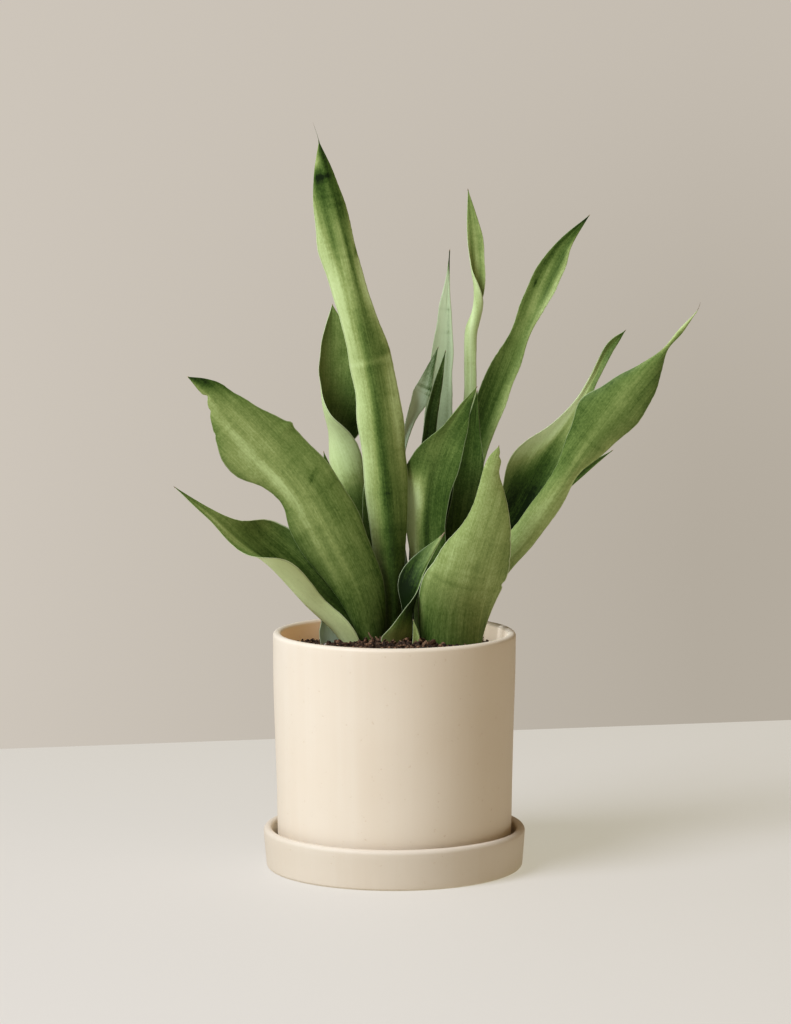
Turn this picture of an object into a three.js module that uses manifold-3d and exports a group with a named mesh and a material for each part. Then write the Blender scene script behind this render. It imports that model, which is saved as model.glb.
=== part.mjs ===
// Potted snake plant: a cream pot in its saucer, filled with soil, with twenty stiff blade leaves.
// Millimetres, +Z up. The origin is the centre of the saucer's flat underside; -Y is the front.
import * as THREE from 'three';
import { mergeVertices } from 'three/addons/utils/BufferGeometryUtils.js';
import Module from 'manifold-3d';

const wasm = await Module();
wasm.setup();

// Driving dimensions.
const roundSides = 64;          // facets round the pot and the saucer
const clearGap = 0.3;           // air between pieces that touch

const saucerHeight = 25.7;      // top of the saucer's lip
const saucerTopR = 83.6;        // outside radius at the lip
const saucerBaseR = 80.2;       // flat underside's radius, inside the rounded corner
const saucerWall = 5.7;
const saucerFloor = 8;          // top of the saucer's floor, where the pot stands

const potTopR = 77.5;           // outside radius at the rim
const potBaseR = 74.4;          // outside radius at the foot
const rimHeight = 150.7;
const potWall = 5.5;
const rimRound = 2.4;           // radius of the rim's rounded edges
const footRecess = 2.5;         // hollow under the pot, inside its foot ring
const footInnerR = 62;
const floorThickness = 8;
const drainR = 7.5;
const footNotchWidth = 12;      // three notches let water out of the foot ring

const soilEdgeHeight = 137;     // soil against the pot's wall
const soilCentreHeight = 145;

const rhizomeR = 6;             // the creeping stem that the shoots grow from
const rhizomeHeight = 113.6;    // its centre line

const leafBaseDepth = 120;      // height at which every leaf starts, inside the soil
const leafHalfThick = 1.5;      // half thickness on the midrib, low down
const marginHalfThick = 0.55;   // half thickness at the margins
const ringSpacing = 17;         // distance between a leaf's rings
const stepsAcross = 4;

// A leaf is a ruled blade: midrib points from the base to the tip, half widths to the left and
// the right of it, the way its face turns about the midrib (0 faces the front, 90 faces right)
// and how far each half is cupped, in degrees (positive curls the margins towards the face).
// Every list is spread evenly along the leaf.
const leaves = [
  {
    name: 'leaf_tall_front', slot: 'leaf_green',
    midrib: [[-1, 13, 120], [-1, 10, 174], [-3, 6, 218], [-7, 2, 263], [-13, -2, 308],
      [-22, -6, 352], [-32, -10, 396], [-41, -13, 432], [-47, -14, 461]],
    left: [7, 6, 8, 13, 15, 15, 14, 13, 15, 15, 12, 7, 0],
    right: [7, 7, 7, 10, 14, 16, 16, 15, 9, 8, 8, 5, 0],
    turn: [0, 0], cup: [-80, -60, -45, -40, -35, -30, -30, -25, -20],
  },
  {
    name: 'leaf_broad_left', slot: 'leaf_green',
    midrib: [[-14, 7, 120], [-24, 2, 170], [-41, -4, 208], [-59, -11, 241], [-80, -17, 267],
      [-99, -22, 287], [-115, -25, 303], [-129, -27, 315]],
    left: [6, 5, 10, 14, 18, 18, 14, 17, 24, 24, 17, 8, 4, 2, 0],
    right: [6, 14, 20, 23, 25, 26, 25, 24, 23, 18, 14, 12, 9, 5, 0],
    turn: [0, 0], cup: [-60, -40, -30, -25, -20, -15, -15, -10],
  },
  {
    name: 'leaf_low_left', slot: 'leaf_green',
    midrib: [[-21, 3, 120], [-35, -3, 148], [-56, -10, 170], [-77, -18, 194], [-97, -26, 212],
      [-115, -33, 229], [-137, -38, 247]],
    left: [6, 20, 29, 27, 15, 7, 3, 0], right: [5, 15, 27, 31, 27, 11, 4, 0],
    turn: [95, 95, 95, 88, 66, 62, 60], cup: [60, 75, 90, 80, 50, 50, 20],
  },
  {
    name: 'leaf_twisted_left', slot: 'leaf_green',
    midrib: [[-13, 26, 120], [-18, 29, 173], [-27, 33, 218], [-38, 38, 260], [-43, 42, 285],
      [-41, 45, 309], [-40, 48, 332], [-40, 50, 356]],
    left: [6, 11, 14, 15, 20, 18, 13, 0], right: [6, 11, 14, 17, 16, 13, 9, 0],
    turn: [0, 0, -10, -45, -112, -150, -160, -165],
    cup: [-60, -50, -50, -60, -60, -50, -40, -30],
  },
  {
    name: 'leaf_inner_left', slot: 'leaf_green',
    midrib: [[-8, 20, 120], [-11, 20, 174], [-16, 21, 220], [-18, 22, 253]],
    left: [4, 5, 5, 4, 0], right: [4, 4, 4, 3, 0],
    turn: [0, 0], cup: [40, 30],
  },
  {
    name: 'leaf_back_left', slot: 'leaf_green',
    midrib: [[-16, 16, 120], [-26, 15, 173], [-36, 14, 225], [-45, 14, 264]],
    left: [4, 8, 9, 7, 0], right: [4, 10, 11, 7, 0],
    turn: [0, 0], cup: [40, 30],
  },
  {
    name: 'leaf_pale_back', slot: 'leaf_silver',
    midrib: [[18, 42, 120], [23, 48, 191], [28, 52, 249], [30, 59, 287], [32, 66, 326],
      [34, 71, 358], [36, 75, 390]],
    left: [5, 8, 10, 11, 11, 9, 7, 3, 0], right: [5, 8, 9, 9, 8, 7, 5, 4, 0],
    turn: [0, 0], cup: [40, 35, 30, 30, 30, 30, 20],
  },
  {
    name: 'leaf_curled_back', slot: 'leaf_silver',
    midrib: [[2, 25, 120], [4, 26, 170], [4, 28, 220], [5, 30, 261], [11, 33, 288],
      [18, 35, 304], [28, 38, 329]],
    left: [5, 6, 5, 3, 4, 4, 0], right: [5, 6, 5, 3, 5, 4.5, 0],
    turn: [0, 0, 0, 0, 20, -20, -40], cup: [30, 30, 30, 40, 50, 50, 30],
  },
  {
    name: 'leaf_dark_back', slot: 'leaf_green',
    midrib: [[13, 31, 120], [15, 36, 192], [19, 40, 243], [23, 44, 282], [28, 47, 304],
      [33, 50, 326]],
    left: [5, 9, 10, 6, 3, 0], right: [5, 8, 8, 4, 2, 0],
    turn: [0, 0], cup: [40, 30],
  },
  {
    name: 'leaf_twisted_back', slot: 'leaf_green',
    midrib: [[37, 42, 120], [43, 52, 190], [48, 60, 248], [51, 67, 299], [51, 72, 332],
      [53, 76, 358], [53, 80, 390], [48, 84, 429]],
    left: [5, 8, 7, 5, 4, 4, 5.5, 0], right: [5, 8, 7, 5, 4, 4, 6, 0],
    turn: [0, 0, 0, 0, 20, 90, 160, 180], cup: [-40, -40, -35, -30, -30, -30, -30, -20],
  },
  {
    name: 'leaf_leaning_right', slot: 'leaf_green',
    midrib: [[27, 35, 120], [35, 38, 186], [46, 41, 237], [59, 43, 279], [73, 46, 314],
      [85, 50, 345], [95, 54, 370], [108, 58, 393], [126, 62, 413]],
    left: [6, 9, 12, 13, 13, 12, 11, 8, 8, 8, 6, 3, 0],
    right: [6, 9, 10, 9, 7, 8, 7, 6, 8, 11, 9, 4, 0],
    turn: [0, 0], cup: [50, 45, 40, 40, 35, 35, 30, 30, 20],
  },
  {
    name: 'leaf_front_middle', slot: 'leaf_green',
    midrib: [[22, 21, 120], [22, 20, 185], [21, 16, 221], [24, 9, 250], [31, 3, 273],
      [41, -2, 291], [52, -6, 307]],
    left: [7, 9, 10, 13, 15, 13, 7, 3, 2, 0], right: [7, 10, 13, 14, 15, 15, 12, 8, 4, 0],
    turn: [0, 0], cup: [45, 40, 40, 35, 30, 25, 20],
  },
  {
    name: 'leaf_dark_middle', slot: 'leaf_green',
    midrib: [[33, 27, 120], [40, 27, 187], [46, 26, 233], [50, 26, 265], [53, 26, 302]],
    left: [5, 9, 11, 10, 9, 6, 0], right: [6, 9, 11, 11, 9, 4, 0],
    turn: [0, 0], cup: [40, 35, 30, 30, 20],
  },
  {
    name: 'leaf_broad_front', slot: 'leaf_green',
    midrib: [[35, 1, 120], [37, -9, 162], [43, -20, 189], [50, -28, 214], [57, -34, 238],
      [61, -39, 258], [65, -42, 273]],
    left: [20, 22, 25, 25, 20, 15, 10, 7, 6, 6, 4, 0],
    right: [20, 23, 27, 29, 30, 27, 23, 17, 10, 5, 4, 0],
    turn: [0, 0], cup: [-50, -44, -38, -32, -28, -25, -20],
  },
  {
    name: 'leaf_broad_right', slot: 'leaf_green',
    midrib: [[49, 12, 120], [65, 4, 182], [84, -5, 213], [103, -14, 243], [121, -22, 271],
      [139, -28, 296], [156, -33, 318], [171, -37, 336], [187, -40, 356]],
    left: [6, 8, 10, 11, 10, 9, 10, 15, 21, 16, 10, 4, 1, 1, 0],
    right: [7, 9, 8, 8, 9, 8, 7, 11, 16, 17, 14, 8, 1, 1, 0],
    turn: [0, 0], cup: [-70, -55, -45, -40, -30, -25, -25, -30, -30],
  },
  {
    name: 'leaf_inner_right', slot: 'leaf_green',
    midrib: [[45, 26, 120], [64, 25, 190], [81, 25, 229], [97, 26, 259], [113, 28, 284],
      [127, 31, 309], [137, 34, 328], [148, 36, 340]],
    left: [6, 9, 13, 18, 22, 12, 5, 3, 3, 3, 0], right: [7, 11, 14, 18, 19, 16, 8, 4, 4, 3, 0],
    turn: [0, 0], cup: [60, 50, 45, 40, 40, 50, 50, 20],
  },
  {
    name: 'leaf_back_right', slot: 'leaf_green',
    midrib: [[41, 33, 120], [57, 37, 171], [85, 48, 215], [114, 59, 240], [142, 66, 260]],
    left: [5, 7, 8, 6, 0], right: [5, 6, 7, 5, 0],
    turn: [0, 0], cup: [40, 30],
  },
  {
    name: 'leaf_cupped_front', slot: 'leaf_green',
    midrib: [[2, 3, 120], [9, 1, 146], [11, 0, 165], [17, 3, 185], [32, 8, 213]],
    left: [6, 9, 11, 14, 0], right: [8, 22, 12, 2, 0],
    turn: [-120, -115, -80, -45, -40], cup: [50, 50, 50, 45, 20],
    cupRight: [60, 60, 70, 50, 20],
  },
  {
    name: 'leaf_sprout', slot: 'leaf_green',
    midrib: [[12, -6, 120], [14, -7, 145], [12, -7, 159]],
    left: [3, 3, 2, 0], right: [3, 3, 2, 0],
    turn: [0, 0], cup: [40, 30],
  },
  {
    name: 'leaf_stub_left', slot: 'leaf_silver',
    midrib: [[-38, 10, 120], [-42, 9, 144], [-45, 9, 156], [-48, 8, 165]],
    left: [5, 8, 6, 0], right: [5, 8, 6, 0],
    turn: [60, 60], cup: [80, 80],
  },
];

const materials = {
  cream_ceramic: new THREE.MeshStandardMaterial({ color: 0xeee3d2, roughness: 0.62 }),
  potting_soil: new THREE.MeshStandardMaterial({ color: 0x3a291e, roughness: 0.95 }),
  rootstock: new THREE.MeshStandardMaterial({ color: 0xb98a55, roughness: 0.8 }),
  leaf_green: new THREE.MeshStandardMaterial({ color: 0x7d9a5c, roughness: 0.5 }),
  leaf_silver: new THREE.MeshStandardMaterial({ color: 0xafc29c, roughness: 0.5 }),
};

const object = new THREE.Group();
const toRadians = THREE.MathUtils.degToRad;

function addMesh(name, slot, geometry) {
  geometry.computeVertexNormals();
  const mesh = new THREE.Mesh(geometry, materials[slot]);
  mesh.name = name;
  object.add(mesh);
}

function solid(geometry) {
  const bare = geometry.clone();
  bare.deleteAttribute('normal');
  bare.deleteAttribute('uv');
  const merged = mergeVertices(bare, 1e-4);
  const vertProperties = new Float32Array(merged.attributes.position.array);
  const triVerts = new Uint32Array(merged.index.array);
  return new wasm.Manifold(new wasm.Mesh({ numProp: 3, vertProperties, triVerts }));
}

function geometryOf(shape) {
  const mesh = shape.getMesh();
  const geometry = new THREE.BufferGeometry();
  geometry.setAttribute('position', new THREE.BufferAttribute(mesh.vertProperties, 3));
  geometry.setIndex(new THREE.BufferAttribute(mesh.triVerts, 1));
  return geometry;
}

// A profile of [radius, height] pairs, listed from the bottom up the outside, turned about Z.
function turned(profile, sides = roundSides) {
  const points = profile.map(([r, z]) => new THREE.Vector2(r, z));
  return new THREE.LatheGeometry(points, sides).rotateX(Math.PI / 2);
}

// Points of a quarter round about (r, z) from one angle to another, in degrees.
function arc(r, z, radius, from, to, steps = 4) {
  const points = [];
  for (let i = 0; i <= steps; i++) {
    const angle = toRadians(from + ((to - from) * i) / steps);
    points.push([r + radius * Math.cos(angle), z + radius * Math.sin(angle)]);
  }
  return points;
}

// Uniform Catmull-Rom through evenly spread values, with the ends carried straight on.
function along(values, t) {
  const last = values.length - 1;
  const u = Math.min(Math.max(t * last, 0), last - 1e-9);
  const i = Math.floor(u);
  const f = u - i;
  const at = (k) => {
    if (k < 0) return values[0].map((v, c) => 2 * v - values[1][c]);
    if (k > last) return values[last].map((v, c) => 2 * v - values[last - 1][c]);
    return values[k];
  };
  const [a, b, c, d] = [at(i - 1), at(i), at(i + 1), at(i + 2)];
  return b.map((_, n) => 0.5 * (2 * b[n] + (c[n] - a[n]) * f
    + (2 * a[n] - 5 * b[n] + 4 * c[n] - d[n]) * f * f
    + (3 * b[n] - a[n] - 3 * c[n] + d[n]) * f * f * f));
}
const numberAlong = (values, t) => along(values.map((v) => [v]), t)[0];
const pointAlong = (points, t) => new THREE.Vector3(...along(points, t));

// A closed blade. grow swells it all over, and sink carries its base further down.
function blade(leaf, grow = 0, sink = 0) {
  const { midrib, left, right, turn, cup, cupRight = cup } = leaf;
  const front = new THREE.Vector3(0, -1, 0);
  const rings = [];
  const run = midrib.slice(1).reduce((sum, p, i) => sum + Math.hypot(
    p[0] - midrib[i][0], p[1] - midrib[i][1], p[2] - midrib[i][2],
  ), 0);
  const steps = Math.max(7, Math.round(run / ringSpacing));
  for (let i = sink ? -1 : 0; i <= steps; i++) {
    const t = Math.max(i / steps, 0);
    const centre = pointAlong(midrib, t);
    if (i < 0) centre.z -= sink;
    const tangent = pointAlong(midrib, Math.min(t + 1e-4, 1))
      .sub(pointAlong(midrib, Math.max(t - 1e-4, 0))).normalize();
    const facing = front.clone().addScaledVector(tangent, -tangent.dot(front)).normalize();
    const beside = tangent.clone().cross(facing);
    const angle = toRadians(numberAlong(turn, t));
    const face = facing.clone().multiplyScalar(Math.cos(angle))
      .addScaledVector(beside, Math.sin(angle));
    const side = beside.clone().multiplyScalar(Math.cos(angle))
      .addScaledVector(facing, -Math.sin(angle));
    const ring = { front: [], back: [] };
    for (let j = 0; j <= stepsAcross; j++) {
      const s = (2 * j) / stepsAcross - 1;
      const width = Math.max(numberAlong(s < 0 ? left : right, t), 0.5) + grow;
      const bend = toRadians(numberAlong(s < 0 ? cup : cupRight, t)) || 1e-3;
      const across = (width * Math.sin(bend * s)) / bend;
      const lift = (width * (1 - Math.cos(bend * s))) / bend;
      const taper = 1 - 0.55 * t;
      const thick = Math.min(
        marginHalfThick + (leafHalfThick * taper - marginHalfThick) * (1 - s * s),
        0.35 + 0.25 * width,
      ) + grow;
      const normal = face.clone().multiplyScalar(Math.cos(bend * s))
        .addScaledVector(side, -Math.sin(bend * s));
      const middle = centre.clone().addScaledVector(side, across).addScaledVector(face, lift);
      ring.front.push(middle.clone().addScaledVector(normal, thick));
      ring.back.push(middle.clone().addScaledVector(normal, -thick));
    }
    rings.push([...ring.front, ...ring.back.reverse()]);
  }
  return ringSolid(rings);
}

// Closes a stack of rings of equal length into one body, with a flat fan at each end.
function ringSolid(rings) {
  const count = rings[0].length;
  const corners = rings.flat().flatMap((p) => [p.x, p.y, p.z]);
  const faces = [];
  for (let i = 0; i < rings.length - 1; i++) {
    for (let j = 0; j < count; j++) {
      const k = (j + 1) % count;
      const [a, b, c, d] = [i * count + j, i * count + k, (i + 1) * count + k, (i + 1) * count + j];
      faces.push(a, b, c, a, c, d);
    }
  }
  const half = count / 2;
  const lid = (first, flip) => {
    for (let j = 0; j < half - 1; j++) {
      const [a, b, c, d] = [j, j + 1, count - 2 - j, count - 1 - j].map((n) => first + n);
      if (flip) faces.push(a, c, b, a, d, c);
      else faces.push(a, b, c, a, c, d);
    }
  };
  lid(0, true);
  lid((rings.length - 1) * count, false);
  const geometry = new THREE.BufferGeometry();
  geometry.setAttribute('position', new THREE.Float32BufferAttribute(corners, 3));
  geometry.setIndex(faces);
  return geometry;
}

// Saucer: a shallow dish with a rounded lip and a softened bottom corner.
const lip = saucerWall / 2;
addMesh('saucer', 'cream_ceramic', turned([
  [0, 0], [saucerBaseR, 0], ...arc(saucerBaseR, 1.6, 1.6, -60, 0, 3),
  ...arc(saucerTopR - lip, saucerHeight - lip, lip, 0, 180, 6),
  [saucerTopR - saucerWall - 1.2, saucerFloor + 1.5], [saucerTopR - saucerWall - 2.7, saucerFloor],
  [0, saucerFloor],
]));

// Pot: a slightly tapered tub with a drain hole, a foot ring and three notches through the ring.
const innerTopR = potTopR - potWall;
const innerBaseR = potBaseR - potWall;
const potFloorTop = saucerFloor + footRecess + floorThickness;
const potTurned = solid(turned([
  [drainR, saucerFloor + footRecess], [footInnerR, saucerFloor + footRecess],
  [footInnerR + 1.5, saucerFloor], [potBaseR - 1, saucerFloor], [potBaseR, saucerFloor + 1.2],
  ...arc(potTopR - rimRound, rimHeight - rimRound, rimRound, 0, 90),
  ...arc(innerTopR + rimRound, rimHeight - rimRound, rimRound, 90, 180),
  [innerBaseR, potFloorTop], [drainR, potFloorTop], [drainR, saucerFloor + footRecess],
]));
let pot = potTurned;
for (let i = 0; i < 3; i++) {
  const notch = new THREE.BoxGeometry(footNotchWidth, 20, 2 * footRecess);
  notch.translate(0, footInnerR + 7, saucerFloor).rotateZ(toRadians(60 + 120 * i));
  pot = pot.subtract(solid(notch));
}
addMesh('pot', 'cream_ceramic', geometryOf(pot));

// Rhizome: a creeping stem under the shoots, with short branches to the back and the front.
const rhizomePaths = [
  [[-38, 9, 0], [-15, 8, -1], [12, 14, 0], [50, 16, 0]],
  [[-12, 8, -1], [-6, 20, 0], [-14, 30, 0]],
  [[14, 14, -1], [20, 30, 0], [40, 40, 0]],
];

function rhizomeSolid(radius) {
  const pieces = rhizomePaths.map((points) => {
    const path = new THREE.CatmullRomCurve3(
      points.map(([x, y, z]) => new THREE.Vector3(x, y, rhizomeHeight + z)),
    );
    const section = new THREE.Shape().absarc(0, 0, radius, 0, 2 * Math.PI);
    return new THREE.ExtrudeGeometry(section, {
      steps: 8, curveSegments: 5, extrudePath: path, bevelEnabled: false,
    });
  });
  for (const [x, y] of [[-38, 9], [50, 16], [-14, 30], [40, 40]]) {
    pieces.push(new THREE.SphereGeometry(radius, 10, 8).translate(x, y, rhizomeHeight));
  }
  return pieces.map(solid).reduce((a, b) => a.add(b));
}
addMesh('rhizome', 'rootstock', geometryOf(rhizomeSolid(rhizomeR)));

// Leaves.
for (const leaf of leaves) addMesh(leaf.name, leaf.slot, blade(leaf));

// Soil: a low mound that fills the pot, cut back a little from everything bedded in it.
const soilAt = (r) => soilEdgeHeight
  + (soilCentreHeight - soilEdgeHeight) * (1 - (r / innerTopR) ** 2);
const wallAt = (z) => innerBaseR
  + ((innerTopR - innerBaseR) * (z - potFloorTop)) / (rimHeight - rimRound - potFloorTop);
const soilProfile = [[0, potFloorTop + clearGap],
  [innerBaseR - clearGap, potFloorTop + clearGap],
  [wallAt(soilEdgeHeight) - clearGap, soilEdgeHeight]];
for (const r of [52, 36, 18, 0]) soilProfile.push([r, soilAt(r)]);
let soil = solid(turned(soilProfile, 40)).subtract(rhizomeSolid(rhizomeR + clearGap));
for (const leaf of leaves) soil = soil.subtract(solid(blade(leaf, clearGap, 5)));
addMesh('soil', 'potting_soil', geometryOf(soil));

export default object;
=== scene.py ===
import math
import bpy
import numpy as np
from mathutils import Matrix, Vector


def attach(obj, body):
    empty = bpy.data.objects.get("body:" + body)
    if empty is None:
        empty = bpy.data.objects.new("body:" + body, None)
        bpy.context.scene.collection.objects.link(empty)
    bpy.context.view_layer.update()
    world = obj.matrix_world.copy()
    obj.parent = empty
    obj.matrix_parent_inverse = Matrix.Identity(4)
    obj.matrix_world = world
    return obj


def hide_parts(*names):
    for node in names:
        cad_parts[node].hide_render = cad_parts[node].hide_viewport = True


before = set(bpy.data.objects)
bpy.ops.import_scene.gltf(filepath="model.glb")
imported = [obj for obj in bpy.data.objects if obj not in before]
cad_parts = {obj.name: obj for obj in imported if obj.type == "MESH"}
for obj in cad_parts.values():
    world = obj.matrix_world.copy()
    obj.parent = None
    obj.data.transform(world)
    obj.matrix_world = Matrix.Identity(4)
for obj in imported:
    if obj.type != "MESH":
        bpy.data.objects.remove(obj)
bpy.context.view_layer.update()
mm = 0.001
print("frame loaded, nodes:", len(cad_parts))


# Catmull-Rom through evenly spread values: the cubic whose slope at each value is half the
# step between its two neighbours. Both ends are carried straight on.
def alongCurve(values, t):
    v = np.asarray(values, float)
    last = len(v) - 1
    padded = np.concatenate([[2 * v[0] - v[1]], v, [2 * v[-1] - v[-2]]])
    u = np.clip(np.asarray(t, float) * last, 0, last - 1e-9)
    i = u.astype(int)
    f = u - i
    if v.ndim > 1:
        f = f[:, None]
    a, b, c, d = padded[i], padded[i + 1], padded[i + 2], padded[i + 3]
    return 0.5 * (2 * b + (c - a) * f + (2 * a - 5 * b + 4 * c - d) * f ** 2
                  + (3 * b - a - 3 * c + d) * f ** 3)


# Smooth noise about 0: the mean of plane sine waves with random directions and phases,
# whose wavelengths lie around the given size. Works on arrays of any shape.
def waveNoise(seed, size, *coords, waves=14):
    rng = np.random.default_rng(seed)
    total = 0
    for _ in range(waves):
        direction = rng.normal(size=len(coords))
        direction /= np.linalg.norm(direction)
        k = 2 * np.pi / (size * rng.uniform(0.7, 1.6))
        total = total + np.sin(sum(k * n * c for n, c in zip(direction, coords))
                               + rng.uniform(0, 2 * np.pi))
    return total / math.sqrt(waves / 2)


# A soft bump of height 1 at the centre that fades over the given reach, as a bell does.
def bell(x, centre, reach):
    return np.exp(-((x - centre) / reach) ** 2)


# Puts vertices (metres) and faces into a new mesh object, with smooth shading.
def addPiece(name, verts, faces, slot=None, replaced=(), body="root", smooth=True):
    mesh = bpy.data.meshes.new(name)
    mesh.from_pydata(np.asarray(verts).tolist(), [], faces)
    mesh.update()
    mesh.polygons.foreach_set("use_smooth", [smooth] * len(mesh.polygons))
    piece = bpy.data.objects.new(name, mesh)
    bpy.context.scene.collection.objects.link(piece)
    if slot:
        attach(piece, body)
    if replaced:
        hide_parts(*replaced)
    return piece


# Faces of a grid of rows by columns, closed round the columns, with a pole at each end:
# the two pole vertices follow the grid's own.
def tubeFaces(rows, cols):
    r = np.arange(rows - 1)[:, None] * cols
    j = np.arange(cols)
    k = (j + 1) % cols
    quads = np.stack([r + j, r + k, r + cols + k, r + cols + j], -1).reshape(-1, 4)
    top = (rows - 1) * cols
    first = np.stack([np.full(cols, rows * cols), k, j], -1)
    final = np.stack([np.full(cols, rows * cols + 1), top + j, top + k], -1)
    return quads.tolist() + first.tolist() + final.tolist()


# One number for each vertex, which a material reads by the same name.
def addNumbers(piece, name, values):
    layer = piece.data.attributes.new(name, "FLOAT", "POINT")
    layer.data.foreach_set("value", np.asarray(values, np.float32).ravel())


# A property of every element of a mesh, as one flat array.
def readAll(elements, key, kind=int, width=1):
    values = np.empty(len(elements) * width, kind)
    elements.foreach_get(key, values)
    return values


# One UV pair for each vertex; corners on the seam column wrap on past it, by wrapU.
def addMap(piece, name, u, v, wrapU=0.0):
    mesh = piece.data
    corner = readAll(mesh.loops, "vertex_index")
    uv = np.stack([np.ravel(u)[corner], np.ravel(v)[corner]], -1)
    if wrapU:
        sizes = readAll(mesh.polygons, "loop_total")
        face = np.repeat(np.arange(len(sizes)), sizes)
        widest = np.full(len(sizes), -np.inf)
        np.maximum.at(widest, face, uv[:, 0])
        uv[:, 0] += np.where(uv[:, 0] < widest[face] - wrapU / 2, wrapU, 0)
    layer = mesh.uv_layers.new(name=name)
    layer.data.foreach_set("uv", uv.astype(np.float32).ravel())


# A socket that takes part in sums, so that 1 - mask adds the Math node it needs.
class Signal:
    def __init__(self, paint, socket):
        self.paint = paint
        self.socket = socket

    def __add__(self, other):
        return self.paint.sum("ADD", self, other)

    def __radd__(self, other):
        return self.paint.sum("ADD", other, self)

    def __sub__(self, other):
        return self.paint.sum("SUBTRACT", self, other)

    def __rsub__(self, other):
        return self.paint.sum("SUBTRACT", other, self)

    def __mul__(self, other):
        return self.paint.sum("MULTIPLY", self, other)

    def __rmul__(self, other):
        return self.paint.sum("MULTIPLY", other, self)

    def __truediv__(self, other):
        return self.paint.sum("DIVIDE", self, other)


# The nodes of a material or of the world, written as expressions on Signals.
class Paint:
    def __init__(self, name, owners=bpy.data.materials):
        self.owner = owners.new(name)
        self.owner.use_nodes = True
        self.tree = self.owner.node_tree

    # Any node: its settings first, then the values or links of its sockets, by name or number.
    def node(self, kind, settings=None, sockets=None, output=0):
        made = self.tree.nodes.new(kind)
        for key, value in (settings or {}).items():
            if key == "stops":
                ramp = made.color_ramp
                while len(ramp.elements) < len(value):
                    ramp.elements.new(0.5)
                for element, (place, colour) in zip(ramp.elements, value):
                    element.position = place
                    element.color = (*colour, 1)
            else:
                setattr(made, key, value)
        for key, value in (sockets or {}).items():
            if isinstance(value, Signal):
                self.tree.links.new(value.socket, made.inputs[key])
            else:
                made.inputs[key].default_value = value
        return Signal(self, made.outputs[output])

    def sum(self, operation, a, b):
        return self.node("ShaderNodeMath", {"operation": operation}, {0: a, 1: b})

    # start below low, end above high, and smooth or straight between them
    def step(self, value, low, high, start=0.0, end=1.0, kind="SMOOTHSTEP"):
        return self.node("ShaderNodeMapRange", {"interpolation_type": kind},
                         {"Value": value, "From Min": low, "From Max": high,
                          "To Min": start, "To Max": end})

    def mix(self, factor, a, b):
        pair = [(*c, 1) if isinstance(c, tuple) else c for c in (a, b)]
        return self.node("ShaderNodeMix", {"data_type": "RGBA"},
                         {0: factor, 6: pair[0], 7: pair[1]}, 2)

    def stretch(self, vector, x, y, z=1.0, move=(0, 0, 0)):
        return self.node("ShaderNodeMapping", {},
                         {"Vector": vector, "Scale": (x, y, z), "Location": move})

    def noise(self, vector, scale, detail, rough):
        return self.node("ShaderNodeTexNoise", {},
                         {"Vector": vector, "Scale": scale, "Detail": detail,
                          "Roughness": rough})

    def objectPoint(self):
        return self.node("ShaderNodeTexCoord", output="Object")

    def map(self, name):
        return self.node("ShaderNodeUVMap", {"uv_map": name})

    def number(self, name):
        return self.node("ShaderNodeAttribute", {"attribute_name": name}, output="Fac")

    def bump(self, height, distance, strength):
        return self.node("ShaderNodeBump", {},
                         {"Height": height, "Distance": distance, "Strength": strength})

    # Feeds the main shader: links for what changes over the surface, values for the rest.
    def finish(self, links, values):
        shader = self.tree.nodes["Principled BSDF"]
        for key, value in values.items():
            shader.inputs[key].default_value = value
        for key, value in links.items():
            self.tree.links.new(value.socket, shader.inputs[key])
        return self.owner


# Millimetres; z is measured from the table.
potSet = {
    "turns": 288, "rimZ": 150.7, "topR": 77.5, "baseR": 74.4, "wall": 5.5, "round": 2.4,
    "floorZ": 8.0, "recess": 2.5, "footInnerR": 62.0, "footSteps": (-0.5, 1.6, 2.4),
    "footLip": 0.3, "floorThick": 8.0, "drainR": 7.5, "drainBevel": 0.8, "baseRound": 1.3,
    "floorRound": 4.0, "notches": (60, 180, 300), "notchWidth": 9.0, "unevenMm": 0.12,
    "profileStep": 4.0,
}
saucerSet = {
    "turns": 288, "height": 25.7, "topR": 83.6, "baseR": 80.2, "wall": 5.7, "floorZ": 8.0,
    "corner": 1.6, "wellRound": 2.2, "wellSlope": 1.2, "unevenMm": 0.1, "profileStep": 4.0,
}
glazeSet = {
    "cream": (0.79, 0.69, 0.535), "milk": (0.83, 0.75, 0.61), "toast": (0.66, 0.525, 0.355),
    "clouding": 0.55, "streaking": 0.22, "toasting": 0.10, "pitting": 0.35, "rough": 0.55,
    # painted light: the inner wall glows dim and warm on its shaded left, paler on its lit
    # right
    "bumpMetres": 0.00012, "saucerPaintedShade": 0.9, "paintedBounceLeft": (0.27, 0.155, 0.07),
    "paintedBounceRight": (0.52, 0.45, 0.36), "innerFrom": 118.0, "innerTo": 142.0,
}


# Points of an arc about (r, z), from one angle to another in degrees.
def arcPoints(r, z, radius, start, end, steps):
    a = np.radians(np.linspace(start, end, steps + 1))
    return np.stack([r + radius * np.cos(a), z + radius * np.sin(a)], -1)


# Splits a profile so that no two of its points are further apart than the given step.
def evenProfile(points, step):
    points = np.asarray(points, float)
    out = [points[:1]]
    for a, b in zip(points[:-1], points[1:]):
        parts = max(1, math.ceil(np.linalg.norm(b - a) / step))
        out.append(a + (b - a) * (np.arange(1, parts + 1) / parts)[:, None])
    return np.concatenate(out)


# A turned piece: each profile point (r, z) goes round a circle of radius r at height z.
# The wall swells and dips by unevenMm of smooth noise, as a thrown wall does, but not near
# the axis.
def turnedPoints(profile, turns, uneven, seed):
    swellSize, stillR = 55, 20
    angle = np.linspace(0, 2 * np.pi, turns, endpoint=False)[None, :]
    r, z = profile[:, 0][:, None], profile[:, 1][:, None]
    x, y = np.cos(angle), np.sin(angle)
    swell = uneven * waveNoise(seed, swellSize, r * x, r * y, z + 0 * x)
    swell = swell * np.clip((r - stillR) / stillR, 0, 1)
    return np.stack([(r + swell) * x, (r + swell) * y, z + 0 * x], -1)


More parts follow.
